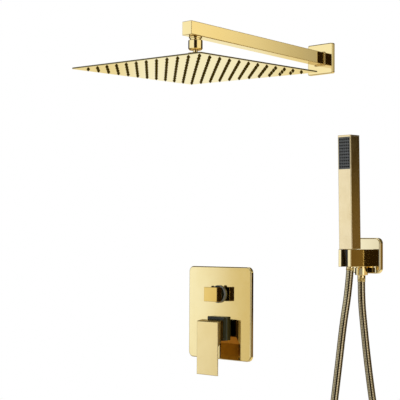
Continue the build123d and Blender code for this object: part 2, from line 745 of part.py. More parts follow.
# silicone mat with 144 tapered tips
with BuildPart() as nozzle_mat:
    with BuildSketch(Plane.XY.offset(HEAD_Z + 1)):
        with Locations((XH, YH)):
            Rectangle(268, 268)
    extrude(amount=1.2)
    with BuildSketch(Plane.XY.offset(HEAD_Z + 1)):
        with Locations((XH, YH)):
            with GridLocations(NOZ_P, NOZ_P, NOZ_N, NOZ_N):
                Circle(2.7)
    extrude(amount=-4.5, taper=20)
    with BuildSketch(Plane.XY.offset(HEAD_Z + 2.2)):
        with Locations((XH, YH)):
            with GridLocations(NOZ_P, NOZ_P, NOZ_N, NOZ_N):
                Circle(0.6)
    extrude(amount=-6, mode=Mode.SUBTRACT)
nozzle_mat.part = nozzle_mat.part.rotate(TILT_AXIS, TILT)
nozzle_mat.part.label = "nozzle_mat"
export_step(nozzle_mat.part, "parts/nozzle_mat.step")

# ============================================================ holder and outlet
with BuildPart() as outlet_wall_elbow:
    with BuildSketch(Plane.XZ.offset(-6)):
        with Locations((XS, BRK_Z)):
            Circle(14)
    extrude(amount=-34)
    with BuildSketch(Plane.XZ.offset(-26)):
        with Locations((XS, BRK_Z)):
            RectangleRounded(28, 28, 5)
    extrude(amount=-30)
    with BuildSketch(Plane.XY.offset(BRK_Z)):
        with Locations((XS, PIPE_Y)):
            Circle(12)
    extrude(amount=-34)
    with BuildSketch(Plane.XZ.offset(-54)):
        with Locations((XS, BRK_Z)):
            RectangleRounded(80, 32, 8)
    extrude(amount=-6)
    with BuildSketch(Plane.XZ.offset(-54)):
        with Locations((XS - 31, BRK_Z), (XS + 31, BRK_Z)):
            Circle(2.75)
    extrude(amount=-6, mode=Mode.SUBTRACT)
    with BuildSketch(Plane.XZ.offset(-6)):
        with Locations((XS, BRK_Z)):
            Circle(10.5)
    extrude(amount=-19, mode=Mode.SUBTRACT)
    with BuildSketch(Plane.XZ.offset(-20)):
        with Locations((XS, BRK_Z)):
            Circle(6)
    extrude(amount=-20, mode=Mode.SUBTRACT)
    with BuildSketch(Plane.XY.offset(BRK_Z - 34)):
        with Locations((XS, PIPE_Y)):
            Circle(7.6)
    extrude(amount=16, mode=Mode.SUBTRACT)
    with BuildSketch(Plane.XY.offset(BRK_Z - 20)):
        with Locations((XS, PIPE_Y)):
            Circle(5)
    extrude(amount=20, mode=Mode.SUBTRACT)
outlet_wall_elbow.part.label = "outlet_wall_elbow"
export_step(outlet_wall_elbow.part, "parts/outlet_wall_elbow.step")

with BuildPart() as bracket_plate:
    with BuildSketch(Plane.XZ):
        with Locations((XS, BRK_Z + 1.3)):
            RectangleRounded(BRK_W, BRK_H + 2.6, BRK_R)
    extrude(amount=BRK_T)
    fillet(bracket_plate.faces().sort_by(Axis.Y)[0].edges(), 2.4)
    with BuildSketch(Plane.XZ):
        with Locations((XS, BRK_Z)):
            RectangleRounded(BRK_W - 6, BRK_H - 6, BRK_R - 3)
    extrude(amount=BRK_T - 3, mode=Mode.SUBTRACT)
    with BuildSketch(Plane.XZ):
        with Locations((XS, BRK_Z)):
            Circle(8.05)
    extrude(amount=BRK_T, mode=Mode.SUBTRACT)
bracket_plate.part.label = "bracket_plate"
export_step(bracket_plate.part, "parts/bracket_plate.step")

with BuildPart() as bracket_gasket:
    with BuildSketch(Plane.XZ):
        with Locations((XS, BRK_Z)):
            RectangleRounded(BRK_W - 6.6, BRK_H - 6.6, BRK_R - 3.3)
            Circle(14, mode=Mode.SUBTRACT)
    extrude(amount=BRK_T - 3)
bracket_gasket.part.label = "bracket_gasket"
export_step(bracket_gasket.part, "parts/bracket_gasket.step")

# holder block: conical socket with a hose slot in front, water way behind
with BuildPart() as bracket_body:
    with BuildSketch(Plane.XZ.offset(BRK_T)):
        with Locations((XS, (BLOCK_Z0 + BLOCK_Z1) / 2)):
            Rectangle(BLOCK_W, BLOCK_Z1 - BLOCK_Z0)
    extrude(amount=BLOCK_FRONT - BRK_T)
    fillet(bracket_body.edges().filter_by(Axis.Z).group_by(Axis.Y)[0], 1.2)
    fillet(
        bracket_body.faces().sort_by(Axis.Z)[0].edges()
        + bracket_body.faces().sort_by(Axis.Z)[-1].edges(),
        0.8,
    )
    with Locations(Location((XS, YS + (HAND_Z0 - 120) * math.tan(math.radians(LEAN)), 120), (LEAN, 0, 0))):
        Cone(9.4, 12.8, 36.3, mode=Mode.SUBTRACT)
    with BuildSketch(Plane.XY.offset(BLOCK_Z0 - 1)):
        with Locations((XS, YS - 15)):
            Rectangle(15.2, 30)
    extrude(amount=BLOCK_Z1 - BLOCK_Z0 + 2, mode=Mode.SUBTRACT)
    # water way: in from the wall, out below
    with BuildSketch(Plane.XZ.offset(BRK_T)):
        with Locations((XS, BRK_Z)):
            Circle(8)
    extrude(amount=6, mode=Mode.SUBTRACT)
    with BuildSketch(Plane.XZ.offset(BRK_T)):
        with Locations((XS, BRK_Z)):
            Circle(5)
    extrude(amount=-OUT_Y - BRK_T, mode=Mode.SUBTRACT)
    with BuildSketch(Plane.XY.offset(BLOCK_Z0)):
        with Locations((XS, OUT_Y)):
            Circle(5)
    extrude(amount=BRK_Z - BLOCK_Z0, mode=Mode.SUBTRACT)
    with BuildSketch(Plane.XY.offset(BLOCK_Z0)):
        with Locations((XS, OUT_Y)):
            Circle(8)
    extrude(amount=8, mode=Mode.SUBTRACT)
bracket_body.part.label = "bracket_body"
export_step(bracket_body.part, "parts/bracket_body.step")

with BuildPart() as bracket_inlet_nipple:
    with BuildSketch(Plane.XZ.offset(16)):
        with Locations((XS, BRK_Z)):
            Circle(7.95)
    extrude(amount=-20)
    with BuildSketch(Plane.XZ.offset(-4)):
        with Locations((XS, BRK_Z)):
            Circle(10.45)
    extrude(amount=-20)
    with BuildSketch(Plane.XZ.offset(16)):
        with Locations((XS, BRK_Z)):
            Circle(5)
    extrude(amount=-40, mode=Mode.SUBTRACT)
bracket_inlet_nipple.part.label = "bracket_inlet_nipple"
export_step(bracket_inlet_nipple.part, "parts/bracket_inlet_nipple.step")

with BuildPart() as outlet_nipple:
    with BuildSketch(Plane.XY.offset(92)):
        with Locations((XS, OUT_Y)):
            Circle(9.85)
    extrude(amount=BLOCK_Z0 - 92)
    with BuildSketch(Plane.XY.offset(BLOCK_Z0)):
        with Locations((XS, OUT_Y)):
            Circle(7.95)
    extrude(amount=8)
    with BuildSketch(Plane.XY.offset(92)):
        with Locations((XS, OUT_Y)):
            Circle(5)
    extrude(amount=22, mode=Mode.SUBTRACT)
outlet_nipple.part.label = "outlet_nipple"
export_step(outlet_nipple.part, "parts/outlet_nipple.step")

with BuildPart() as outlet_washer:
    with BuildSketch(Plane.XY.offset(90)):
        with Locations((XS, OUT_Y)):
            Circle(9.6)
            Circle(5.5, mode=Mode.SUBTRACT)
    extrude(amount=2)
outlet_washer.part.label = "outlet_washer"
export_step(outlet_washer.part, "parts/outlet_washer.step")

with BuildPart() as hose_outlet_nut:
    with BuildSketch(Plane.XY.offset(88)):
        with Locations((XS, OUT_Y)):
            RegularPolygon(12.7, 6, rotation=22)
            Circle(11.9, mode=Mode.INTERSECT)
    extrude(amount=14)
    chamfer(hose_outlet_nut.faces().sort_by(Axis.Z)[0].edges(), 0.7)
    chamfer(hose_outlet_nut.faces().sort_by(Axis.Z)[-1].edges(), 0.7)
    with BuildSketch(Plane.XY.offset(90)):
        with Locations((XS, OUT_Y)):
            Circle(9.9)
    extrude(amount=12, mode=Mode.SUBTRACT)
    with BuildSketch(Plane.XY.offset(88)):
        with Locations((XS, OUT_Y)):
            Circle(5.5)
    extrude(amount=2, mode=Mode.SUBTRACT)
hose_outlet_nut.part.label = "hose_outlet_nut"
export_step(hose_outlet_nut.part, "parts/hose_outlet_nut.step")

# ------------------------------------------------------------------------ hose
HOSE_ROUTE = [
    (XS, -58.25, 103.6),
    (366.8, -61.5, 60),
    (361.2, -70.0, 0),
    (356.0, -77.8, -80),
    (348.4, -88.0, -180),
    (332.0, -101.0, -285),
    (312.0, -115.0, -385),
    (333.6, -97.8, -437.1),
    (376.9, -63.3, -457.6),
    (419.8, -29.1, -436.1),
    (440.7, -12.5, -383.5),
    (415.5, -12.2, -285),
    (393.0, -13.0, -180),
    (379.0, -15.4, -85),
    (371.6, -19.2, -5),
    (367.9, -21.6, 45),
    (XS, OUT_Y, 87.6),
]
_v = [Vector(*p) for p in HOSE_ROUTE]
HOSE_RADII = []
for _i in range(1, len(_v) - 1):
    _a, _b = _v[_i] - _v[_i - 1], _v[_i + 1] - _v[_i]
    _turn = math.radians(_a.get_angle(_b))
    HOSE_RADII.append(0.45 * min(_a.length, _b.length) / math.tan(_turn / 2))
with BuildPart() as hose_tube:
    with BuildLine() as hose_path:
        FilletPolyline(*HOSE_ROUTE, radius=HOSE_RADII)
    with BuildSketch(Plane(origin=_v[0], z_dir=_v[1] - _v[0])):
        Circle(HOSE_D / 2)
    sweep(path=hose_path.line)
HOSE_LEN = sum(e.length for e in hose_path.edges())
print("hose runs", [round((_v[i + 1] - _v[i]).length) for i in range(len(_v) - 1)])
print("hose radii", [round(r) for r in HOSE_RADII])
print(
    "hose length",
    round(HOSE_LEN, 1),
    "volume ratio",
    round(hose_tube.part.volume / (HOSE_LEN * math.pi * HOSE_D**2 / 4), 4),
)
hose_tube.part.label = "hose_tube"
export_step(hose_tube.part, "parts/hose_tube.step")

# the hose nut and the handset lean together, off the wall
LEAN_AXIS = Axis((XS, YS, HAND_Z0), (1, 0, 0))

with BuildPart() as hose_cone_nut:
    with Locations((XS, YS, (104.5 + 136.2) / 2)):
        Cone(9.2, 12.2, 136.2 - 104.5)
    with BuildSketch(Plane.XY.offset(119.5)):
        with Locations((XS, YS)):
            Circle(10)
    extrude(amount=20, mode=Mode.SUBTRACT)
    with BuildSketch(Plane.XY.offset(104.5)):
        with Locations((XS, YS)):
            Circle(5.5)
    extrude(amount=20, mode=Mode.SUBTRACT)
hose_cone_nut.part = hose_cone_nut.part.rotate(LEAN_AXIS, LEAN)
hose_cone_nut.part.label = "hose_cone_nut"
export_step(hose_cone_nut.part, "parts/hose_cone_nut.step")

with BuildPart() as handset_washer:
    with BuildSketch(Plane.XY.offset(119.5)):
        with Locations((XS, YS)):
            Circle(9.8)
            Circle(5.5, mode=Mode.SUBTRACT)
    extrude(amount=2)
handset_washer.part = handset_washer.part.rotate(LEAN_AXIS, LEAN)
handset_washer.part.label = "handset_washer"
export_step(handset_washer.part, "parts/handset_washer.step")

# --------------------------------------------------------------------- handset
with BuildPart() as handset_inlet:
    with BuildSketch(Plane.XY.offset(121.8)):
        with Locations((XS, YS)):
            Circle(9.7)
    extrude(amount=HAND_Z0 - 121.8)
    with BuildSketch(Plane.XY.offset(HAND_Z0)):
        with Locations((XS, YS)):
            Circle(7.95)
    extrude(amount=5.5)
    with BuildSketch(Plane.XY.offset(HAND_Z0 + 5.5)):
        with Locations((XS, YS)):
            Circle(11)
    extrude(amount=4)
    with BuildSketch(Plane.XY.offset(121.8)):
        with Locations((XS, YS)):
            Circle(5)
    extrude(amount=30, mode=Mode.SUBTRACT)
handset_inlet.part = handset_inlet.part.rotate(LEAN_AXIS, LEAN)
handset_inlet.part.label = "handset_inlet"
export_step(handset_inlet.part, "parts/handset_inlet.step")

with BuildPart() as flow_restrictor:
    with BuildSketch(Plane.XY.offset(123)):
        with Locations((XS, YS)):
            Circle(4.95)
            Circle(1.5, mode=Mode.SUBTRACT)
            with PolarLocations(3.2, 6):
                Circle(0.6, mode=Mode.SUBTRACT)
    extrude(amount=5)
flow_restrictor.part = flow_restrictor.part.rotate(LEAN_AXIS, LEAN)
flow_restrictor.part.label = "flow_restrictor"
export_step(flow_restrictor.part, "parts/flow_restrictor.step")

with BuildPart() as handset_body:
    with BuildSketch(Plane.XY.offset(HAND_Z0)):
        with Locations((XS, YS)):
            RectangleRounded(HAND_A, HAND_A, 1.4)
    extrude(amount=HAND_Z1 - 3 - HAND_Z0)
    fillet(handset_body.faces().sort_by(Axis.Z)[0].edges(), 0.7)
    with BuildSketch(Plane.XY.offset(HAND_Z0 + 5.5)):
        with Locations((XS, YS)):
            Rectangle(HAND_A - 4.5, HAND_A - 4.5)
    extrude(amount=HAND_Z1 - HAND_Z0, mode=Mode.SUBTRACT)
    with BuildSketch(Plane.XY.offset(HAND_Z0)):
        with Locations((XS, YS)):
            Circle(8)
    extrude(amount=6, mode=Mode.SUBTRACT)
    # window for the spray panel
    with BuildSketch(Plane.XZ.offset(-YS)):
        with Locations((XS, (PANEL_Z0 + PANEL_Z1) / 2)):
            Rectangle(PANEL_W, PANEL_Z1 - PANEL_Z0)
    extrude(amount=20, mode=Mode.SUBTRACT)
handset_body.part = handset_body.part.rotate(LEAN_AXIS, LEAN)
handset_body.part.label = "handset_body"
export_step(handset_body.part, "parts/handset_body.step")

with BuildPart() as handset_end_cap:
    with BuildSketch(Plane.XY.offset(HAND_Z1 - 2.6)):
        with Locations((XS, YS)):
            RectangleRounded(HAND_A, HAND_A, 1.4)
    extrude(amount=2.6)
    fillet(handset_end_cap.faces().sort_by(Axis.Z)[-1].edges(), 0.6)
    with BuildSketch(Plane.XY.offset(HAND_Z1 - 3)):
        with Locations((XS, YS)):
            RectangleRounded(HAND_A - 1.2, HAND_A - 1.2, 0.9)
    extrude(amount=0.6)
    with BuildSketch(Plane.XY.offset(HAND_Z1 - 8)):
        with Locations((XS, YS + 1.5)):
            Rectangle(HAND_A - 4.5, HAND_A - 7.5)
    extrude(amount=6)
handset_end_cap.part = handset_end_cap.part.rotate(LEAN_AXIS, LEAN)
handset_end_cap.part.label = "handset_end_cap"
export_step(handset_end_cap.part, "parts/handset_end_cap.step")

PANEL_FRONT = -YS + HAND_A / 2 - 0.25
with BuildPart() as handset_spray_plate:
    with BuildSketch(Plane.XZ.offset(PANEL_FRONT - 2)):
        with Locations((XS, (PANEL_Z0 + PANEL_Z1) / 2)):
            Rectangle(PANEL_W, PANEL_Z1 - PANEL_Z0)
            with GridLocations(4.7, 5.6, 5, 10):
                Circle(1.35, mode=Mode.SUBTRACT)
    extrude(amount=2)
handset_spray_plate.part = handset_spray_plate.part.rotate(LEAN_AXIS, LEAN)
handset_spray_plate.part.label = "handset_spray_plate"
export_step(handset_spray_plate.part, "parts/handset_spray_plate.step")

with BuildPart() as handset_nozzle_mat:
    with BuildSketch(Plane.XZ.offset(PANEL_FRONT - 3.2)):
        with Locations((XS, (PANEL_Z0 + PANEL_Z1) / 2)):
            Rectangle(PANEL_W - 0.6, PANEL_Z1 - PANEL_Z0 - 0.6)
    extrude(amount=1.2)
    with BuildSketch(Plane.XZ.offset(PANEL_FRONT - 2)):
        with Locations((XS, (PANEL_Z0 + PANEL_Z1) / 2)):
            with GridLocations(4.7, 5.6, 5, 10):
                Circle(1.25)
    extrude(amount=2.9, taper=7)
handset_nozzle_mat.part = handset_nozzle_mat.part.rotate(LEAN_AXIS, LEAN)
handset_nozzle_mat.part.label = "handset_nozzle_mat"
export_step(handset_nozzle_mat.part, "parts/handset_nozzle_mat.step")
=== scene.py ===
import bpy, bmesh, math
from mathutils import Vector, Matrix


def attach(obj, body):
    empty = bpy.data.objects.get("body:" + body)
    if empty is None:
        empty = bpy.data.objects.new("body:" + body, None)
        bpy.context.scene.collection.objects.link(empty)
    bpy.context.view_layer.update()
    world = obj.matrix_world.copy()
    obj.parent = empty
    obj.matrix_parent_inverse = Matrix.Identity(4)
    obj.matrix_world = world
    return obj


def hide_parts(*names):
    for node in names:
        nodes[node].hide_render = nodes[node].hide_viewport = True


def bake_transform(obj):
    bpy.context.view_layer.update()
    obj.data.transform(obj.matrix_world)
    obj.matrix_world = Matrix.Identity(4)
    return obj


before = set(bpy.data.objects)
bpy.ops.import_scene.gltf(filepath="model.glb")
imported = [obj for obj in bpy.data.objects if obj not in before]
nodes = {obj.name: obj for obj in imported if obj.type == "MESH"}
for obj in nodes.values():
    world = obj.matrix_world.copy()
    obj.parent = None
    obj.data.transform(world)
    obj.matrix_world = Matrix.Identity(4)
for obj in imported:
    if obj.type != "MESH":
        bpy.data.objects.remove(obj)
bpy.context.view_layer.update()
scene = bpy.context.scene
scene.view_settings.view_transform = "Standard"
scene.view_settings.look = "None"

# ---------------------------------------------------------------- camera
cam_data = bpy.data.cameras.new("cam")
cam_data.sensor_width = 36.0
cam_data.lens = 100.04
cam_data.clip_start, cam_data.clip_end = 0.05, 50
cam = bpy.data.objects.new("cam", cam_data)
scene.collection.objects.link(cam)
cr = Vector((0.7352, 0.6778, 0.0060)).normalized()
cd = Vector((-0.6775, 0.7345, 0.0396)).normalized()
cu = cr.cross(cd).normalized()
cr = cd.cross(cu).normalized()
m = Matrix.Identity(4)
for i in range(3):
    m[i][0], m[i][1], m[i][2] = cr[i], cu[i], -cd[i]
m.translation = Vector((1.5580, -1.7582, 0.1442))
cam.matrix_world = m
scene.camera = cam


# ---------------------------------------------------------------- node helpers
class Tree:
    """Short calls for building a node tree."""

    def __init__(self, tree):
        self.t = tree
        tree.nodes.clear()

    def node(self, kind, **settings):
        n = self.t.nodes.new(kind)
        for k, v in settings.items():
            setattr(n, k, v)
        return n

    def put(self, socket, value):
        if hasattr(value, "is_output"):
            self.t.links.new(value, socket)
        elif isinstance(value, (tuple, list)):
            v = list(value)
            if socket.type == "RGBA" and len(v) == 3:
                v.append(1.0)
            socket.default_value = v
        else:
            socket.default_value = value

    def math(self, op, a, b=0.0, c=0.0):
        n = self.node("ShaderNodeMath", operation=op)
        self.put(n.inputs[0], a)
        self.put(n.inputs[1], b)
        self.put(n.inputs[2], c)
        return n.outputs[0]

    def step(self, value, a, b):
        """0 where value is at a, 1 where it is at b, smooth between."""
        n = self.node("ShaderNodeMapRange", interpolation_type="SMOOTHSTEP")
        lo, hi, out = (a, b, (0.0, 1.0)) if a < b else (b, a, (1.0, 0.0))
        self.put(n.inputs[0], value)
        n.inputs[1].default_value, n.inputs[2].default_value = lo, hi
        n.inputs[3].default_value, n.inputs[4].default_value = out
        return n.outputs[0]

    def band(self, value, a0, a1, b1, b0):
        """0 below a0, 1 from a1 to b1, 0 above b0."""
        return self.math("MULTIPLY", self.step(value, a0, a1), self.step(value, b0, b1))

    def times(self, *values):
        out = values[0]
        for v in values[1:]:
            out = self.math("MULTIPLY", out, v)
        return out

    def mix(self, fac, a, b):
        n = self.node("ShaderNodeMix", data_type="RGBA")
        self.put(n.inputs[0], fac)
        self.put(n.inputs[6], a)
        self.put(n.inputs[7], b)
        return n.outputs[2]

    def coords(self, scale=(1, 1, 1)):
        tc = self.node("ShaderNodeTexCoord")
        mp = self.node("ShaderNodeMapping")
        mp.inputs["Scale"].default_value = scale
        self.t.links.new(tc.outputs["Object"], mp.inputs[0])
        return mp.outputs[0]

    def noise(self, vec, scale, detail=2.0, rough=0.5):
        n = self.node("ShaderNodeTexNoise")
        self.t.links.new(vec, n.inputs["Vector"])
        n.inputs["Scale"].default_value = scale
        n.inputs["Detail"].default_value = detail
        n.inputs["Roughness"].default_value = rough
        return n.outputs[0]

    def bump(self, height, strength, distance):
        n = self.node("ShaderNodeBump")
        n.inputs["Strength"].default_value = strength
        n.inputs["Distance"].default_value = distance
        self.t.links.new(height, n.inputs["Height"])
        return n.outputs[0]


# ---------------------------------------------------------------- studio light
world = bpy.data.worlds.new("studio")
scene.world = world
world.use_nodes = True
w = Tree(world.node_tree)
tc = w.node("ShaderNodeTexCoord")
sep = w.node("ShaderNodeSeparateXYZ")
w.t.links.new(tc.outputs["Generated"], sep.inputs[0])
dx, dy, dz = sep.outputs
az = w.math("MULTIPLY", w.math("ARCTAN2", dy, dx), 180 / math.pi)
az = w.math("ADD", az, w.math("MULTIPLY", w.math("LESS_THAN", az, 0.0), 360.0))
el = w.math("MULTIPLY", w.math("ARCSINE", dz), 180 / math.pi)

WHITE = (1.0, 1.09, 1.42)
FILL = (0.36, 0.31, 0.22)
# dim room at eye level, mid-grey fill above and below it
light = w.mix(w.math("ADD", w.step(el, -8, -18), w.step(el, 14, 24)), (0.020, 0.013, 0.006), FILL)
# a dim ceiling on the left, and a flag above the softbox
light = w.mix(w.times(w.band(az, 128, 140, 190, 200), w.band(el, 10, 16, 48, 60)), light, (0.10, 0.082, 0.040))
light = w.mix(w.times(w.band(az, 185, 198, 300, 312), w.band(el, 12, 19, 46, 60)), light, (0.050, 0.042, 0.018))
# large softbox at the front left
edge = w.math("ADD", az, w.math("MULTIPLY_ADD", w.step(el, 9, 4), 10.0, 14.0))
soft = w.times(w.step(az, 197, 206), w.step(edge, 307, 297), w.band(el, -30, -18, 13, 18))
light = w.mix(soft, light, WHITE)
light = w.mix(w.times(soft, w.step(el, 3.5, 7.5)), light, (1.0, 1.065, 1.22))
light = w.mix(w.times(w.band(az, 234, 241, 257, 265), w.band(el, -6, -4, 6, 8)), light, (0.34, 0.30, 0.19))
# a warm strip in the softbox
light = w.mix(w.times(w.band(az, 227.0, 229.6, 231.0, 234.0), w.band(el, -30, -18, 3, 7)), light, (0.70, 0.64, 0.50))
# the softbox is weaker toward the floor
light = w.mix(w.times(soft, w.step(el, -3, -14), 0.50), light, (0.45, 0.42, 0.30))
# and dim low down on its right
light = w.mix(w.times(w.band(az, 240, 252, 296, 302), w.band(el, -34, -26, -18, -13)), light, (0.24, 0.20, 0.125))
# card at the rear left, cream in the middle and golden toward its edges
card = w.times(w.band(az, 112, 119, 147, 153), w.band(el, -20, -14, 4, 7))
light = w.mix(card, light, w.mix(w.band(az, 127.6, 131.0, 135.2, 137.4), (0.85, 0.765, 0.47), (0.955, 0.96, 0.82)))
light = w.mix(w.times(w.band(az, 122, 127, 141, 146), w.band(el, 11, 14, 22, 26)), light, (0.86, 0.76, 0.52))
# upper card on the right, and a narrow one below it
reach = w.math("ADD", az, w.math("MULTIPLY", w.band(el, 11.0, 12.5, 200, 201), w.math("MULTIPLY", w.step(az, 310, 311), 12.0)))
right = w.times(w.math("ADD", w.step(reach, 337, 342), w.step(az, 60, 46)), w.band(el, 6.2, 8.8, 15, 20))
light = w.mix(right, light, (1.03, 0.99, 0.865))
strip = w.times(w.math("ADD", w.step(az, 324, 328), w.step(az, 12, 4)), w.band(el, -24, -18, 4, 5.5))
light = w.mix(strip, light, (1.30, 1.27, 1.40))
light = w.mix(w.times(w.band(az, 32, 36, 43, 47), w.band(el, -3.2, -2.4, 0.2, 1.0)), light, (0.70, 0.55, 0.36))
# dim beside it
light = w.mix(w.times(w.band(az, 6, 14, 40, 46), w.band(el, -32, -24, -8, -4)), light, (0.045, 0.032, 0.014))
# low right side: a brown floor of light
low = w.times(w.band(w.math("ADD", az, w.math("MULTIPLY", w.step(el, -3.3, -4.6), 8.0)), 49, 57, 76, 96), w.band(el, -14, -8, 1, 6))
light = w.mix(low, light, (0.19, 0.127, 0.046))
# behind: a dim ceiling, a light floor to the right and a dim one to the left
light = w.mix(w.times(w.band(az, 40, 54, 112, 126), w.band(el, 17, 23, 44, 58)), light, (0.10, 0.085, 0.038))
light = w.mix(w.times(w.band(az, 40, 56, 112, 124), w.band(el, -66, -50, -24, -14)), light, (0.88, 0.80, 0.60))
light = w.mix(w.times(w.band(az, 138, 150, 190, 203), w.band(el, -64, -50, -18, -9)), light, (0.060, 0.045, 0.020))
# overhead and floor
light = w.mix(w.step(el, 50, 66), light, (0.95, 1.0, 1.15))
light = w.mix(w.step(el, -30, -60), light, (0.55, 0.50, 0.40))
lp = w.node("ShaderNodeLightPath")
light = w.mix(lp.outputs["Is Camera Ray"], light, (1.0, 1.0, 1.0))
bg = w.node("ShaderNodeBackground")
w.put(bg.inputs[0], light)
bg.inputs[1].default_value = 1.0
out = w.node("ShaderNodeOutputWorld")
w.t.links.new(bg.outputs[0], out.inputs[0])


# ---------------------------------------------------------------- materials
def material(name):
    mat = bpy.data.materials.new(name)
    mat.use_nodes = True
    t = Tree(mat.node_tree)
    bsdf = t.node("ShaderNodeBsdfPrincipled")
    o = t.node("ShaderNodeOutputMaterial")
    t.t.links.new(bsdf.outputs[0], o.inputs[0])
    return mat, t, bsdf


def metal(name, colour, deeper, rough, spread, haze=9.0, grain=(1, 1, 1), grain_scale=420.0, bump=0.012):
    """Plated metal: slow colour drift, polishing haze in the gloss, faint polishing grain."""
    mat, t, b = material(name)
    v = t.coords()
    drift = t.step(t.noise(v, haze, 3.0), 0.35, 0.68)
    t.put(b.inputs["Base Color"], t.mix(drift, colour, deeper))
    b.inputs["Metallic"].default_value = 1.0
    smear = t.step(t.noise(t.coords(grain), grain_scale, 4.0, 0.6), 0.3, 0.75)
    cloud = t.step(t.noise(v, 34.0, 4.0, 0.62), 0.35, 0.7)
    r = t.math("MULTIPLY_ADD", t.math("ADD", t.math("MULTIPLY", smear, 0.45), t.math("MULTIPLY", cloud, 0.55)), spread, rough)
    t.put(b.inputs["Roughness"], r)
    t.put(b.inputs["Normal"], t.bump(t.noise(t.coords(grain), grain_scale * 1.7, 2.0), bump, 0.0002))
    return mat


def open_tree(mat):
    t = Tree.__new__(Tree)
    t.t = mat.node_tree
    return t, next(n for n in t.t.nodes if n.type == "BSDF_PRINCIPLED")


def axis_of(t, kind, axis):
    """One component of the object's own normal or place."""
    tc_ = t.node("ShaderNodeTexCoord")
    s_ = t.node("ShaderNodeSeparateXYZ")
    t.t.links.new(tc_.outputs[kind], s_.inputs[0])
    return s_.outputs[axis]


def finish_or_painted_light(mat, where, colour, deeper, rough):
    """Another finish, or painted light and shade, on part of the surface: where(tree) is 1 there and 0 elsewhere."""
    t, b = open_tree(mat)
    there = where(t)
    if colour:
        mottle = t.step(t.noise(t.coords(), 60.0, 3.0), 0.3, 0.7)
        t.put(b.inputs["Base Color"], t.mix(there, b.inputs["Base Color"].links[0].from_socket, t.mix(mottle, colour, deeper)))
    grain = t.math("MULTIPLY_ADD", t.noise(t.coords(), 300.0, 3.0), 0.08, rough - 0.04)
    t.put(b.inputs["Roughness"], t.math("MAXIMUM", b.inputs["Roughness"].links[0].from_socket, t.math("MULTIPLY", there, grain)))
    return mat


def plain(name, colour, other, rough, scale, bump, distance, spread=0.12):
    """Moulded or cast stuff: mottled colour, uneven gloss, fine surface relief."""
    mat, t, b = material(name)
    v = t.coords()
    n = t.noise(v, scale, 4.0, 0.6)
    t.put(b.inputs["Base Color"], t.mix(t.step(n, 0.32, 0.7), colour, other))
    t.put(b.inputs["Roughness"], t.math("MULTIPLY_ADD", t.noise(v, scale * 2.3, 3.0), spread, rough))
    t.put(b.inputs["Normal"], t.bump(t.noise(v, scale * 4.0, 3.0), bump, distance))
    return mat


GOLD, GOLD_DEEP = (0.94, 0.745, 0.335), (0.93, 0.72, 0.305)
gold = metal("gold_polished", GOLD, GOLD_DEEP, 0.045, 0.05)
gold_plate = metal("gold_plate", (0.945, 0.762, 0.338), (0.935, 0.738, 0.308), 0.045, 0.05)
gold_bracket = metal("gold_bracket", (0.975, 0.825, 0.45), (0.965, 0.80, 0.415), 0.025, 0.03)
gold_face = metal("gold_spray_face", (0.95, 0.752, 0.285), (0.94, 0.73, 0.26), 0.05, 0.05)
gold_knob = metal("gold_knob", (0.86, 0.585, 0.150), (0.84, 0.555, 0.132), 0.05, 0.05)
# painted shade: near-black on the knob's back, which faces the wall; a paler painted reflection tone on its left and
# right sides
finish_or_painted_light(gold_knob, lambda t: t.step(axis_of(t, "Normal", 1), 0.10, 0.30), (0.050, 0.034, 0.012), (0.040, 0.026, 0.009), 0.36)
finish_or_painted_light(gold_knob, lambda t: t.step(t.math("ABSOLUTE", axis_of(t, "Normal", 0)), 0.85, 0.95), (0.80, 0.58, 0.24), (0.75, 0.54, 0.21), 0.06)
gold_satin = metal("gold_satin", (0.94, 0.75, 0.385), (0.93, 0.73, 0.355), 0.10, 0.07, grain=(1, 1, 0.06), grain_scale=900.0, bump=0.02)
# the lever's back is rougher, with painted shade and painted reflection: dark behind the hub, warmer below it and on
# the lower back bevel
gold_lever = metal("gold_lever", (0.92, 0.72, 0.31), (0.91, 0.70, 0.285), 0.10, 0.07, grain=(1, 1, 0.06), grain_scale=900.0, bump=0.02)
finish_or_painted_light(gold_lever, lambda t: t.times(t.step(axis_of(t, "Normal", 1), 0.975, 0.99), t.step(axis_of(t, "Object", 2), -0.060, -0.064)),
             (0.28, 0.145, 0.026), (0.24, 0.120, 0.020), 0.36)
finish_or_painted_light(gold_lever, lambda t: t.times(t.step(axis_of(t, "Normal", 1), 0.975, 0.99), t.step(axis_of(t, "Object", 2), -0.055, -0.051)),
             (0.050, 0.034, 0.012), (0.040, 0.026, 0.009), 0.36)
finish_or_painted_light(gold_lever, lambda t: t.times(t.step(axis_of(t, "Normal", 1), 0.45, 0.6), t.step(axis_of(t, "Normal", 2), -0.45, -0.55)),
             (0.80, 0.40, 0.105), (0.72, 0.355, 0.088), 0.34)
# satin top and sides
finish_or_painted_light(gold_lever, lambda t: t.step(axis_of(t, "Normal", 2), 0.85, 0.95), None, None, 0.20)
finish_or_painted_light(gold_lever, lambda t: t.times(t.step(t.math("ABSOLUTE", axis_of(t, "Normal", 0)), 0.90, 0.97), t.step(axis_of(t, "Object", 1), -0.0345, -0.0375)),
             None, None, 0.36)
# brushed sides on the holder block
gold_block = finish_or_painted_light(metal("gold_block", GOLD, GOLD_DEEP, 0.05, 0.05),
                          lambda t: t.step(t.math("ABSOLUTE", axis_of(t, "Normal", 0)), 0.80, 0.95), (0.97, 0.73, 0.275), (0.95, 0.70, 0.25), 0.10)
# satin edges on the arm


def off_axis(t, flat, round_):
    """1 on rounded edges, 0 on faces square to the axes."""
    a, b, c = (t.math("ABSOLUTE", axis_of(t, "Normal", i)) for i in range(3))
    return t.step(t.math("MAXIMUM", a, t.math("MAXIMUM", b, c)), flat, round_)


gold_arm = finish_or_painted_light(metal("gold_arm", GOLD, GOLD_DEEP, 0.045, 0.05), lambda t: off_axis(t, 0.994, 0.970), None, None, 0.55)
